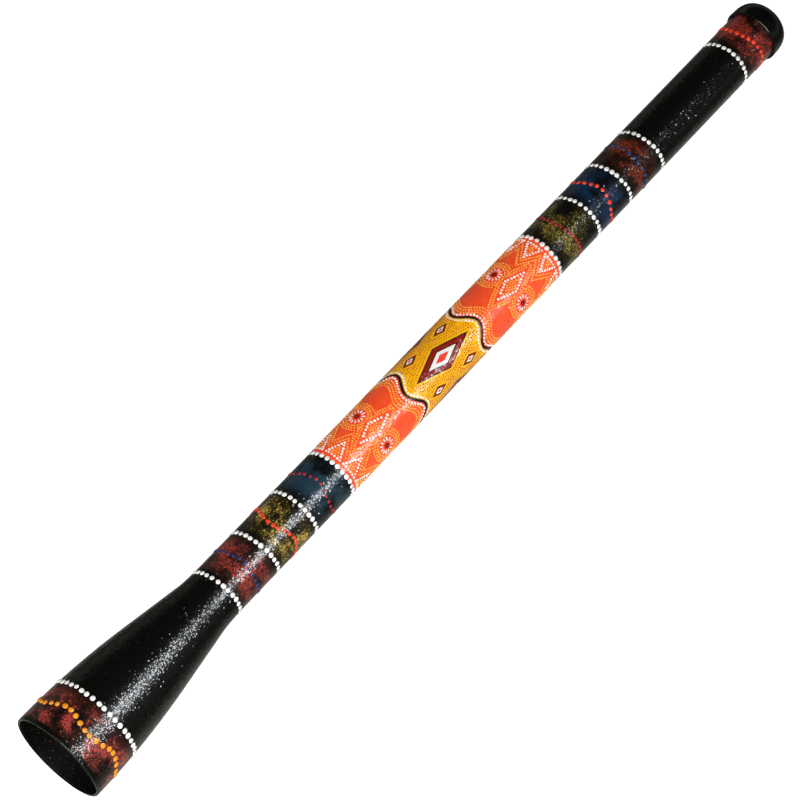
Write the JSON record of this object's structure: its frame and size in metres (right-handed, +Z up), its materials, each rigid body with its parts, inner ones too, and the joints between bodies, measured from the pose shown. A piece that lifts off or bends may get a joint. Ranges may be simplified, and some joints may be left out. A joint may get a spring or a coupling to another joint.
{
  "type": "didgeridoo",
  "caption": "Straight round didgeridoo with a flared bell, whose playing tube slides and turns inside the outer tube; domed mouthpiece.",
  "frame": {"origin": "middle of the closed instrument's length, on the axis of the tubes", "axes": "+X along the tubes from the bell towards the mouthpiece, +Z up with the instrument lying down"},
  "size_m": [0.9284, 0.0842, 0.0842],
  "materials": {
    "painted_tube": "black plastic under sandy black varnish, with raised hand-painted dots and bands",
    "inner_plastic": "satin extruded tube",
    "mouthpiece_plastic": "polished black",
    "bearing_plastic": "turned black acetal",
    "guide_plastic": "waxy low-friction plastic",
    "seal_rubber": "greased nitrile rubber",
    "bumper_rubber": "matt rubber",
    "wiper_felt": "pressed grey felt"
  },
  "bodies": {
    "outer": {"outer_tube": "painted_tube", "throat_bush": "bearing_plastic", "wiper_ring": "wiper_felt"},
    "slide_rings": {"guide_ring_lower": "guide_plastic", "guide_ring_upper": "guide_plastic", "slide_seal_lower": "seal_rubber", "slide_seal_upper": "seal_rubber"},
    "inner": {"inner_tube": "inner_plastic", "slide_collar": "bearing_plastic", "closing_bumper": "bumper_rubber"},
    "mouth": {"mouthpiece": "mouthpiece_plastic", "mouthpiece_seal": "seal_rubber"}
  },
  "joints": [
    {"name": "extend", "type": "slide", "parent": "outer", "child": "slide_rings", "axis": [1, 0, 0], "range_m": [0, 0.635]},
    {"name": "turn", "type": "hinge", "parent": "slide_rings", "child": "inner", "pos_m": [0, 0, 0], "axis": [1, 0, 0], "continuous": true},
    {"name": "mouthpiece_pull", "type": "slide", "parent": "inner", "child": "mouth", "axis": [1, 0, 0], "range_m": [0, 0.033]}
  ]
}
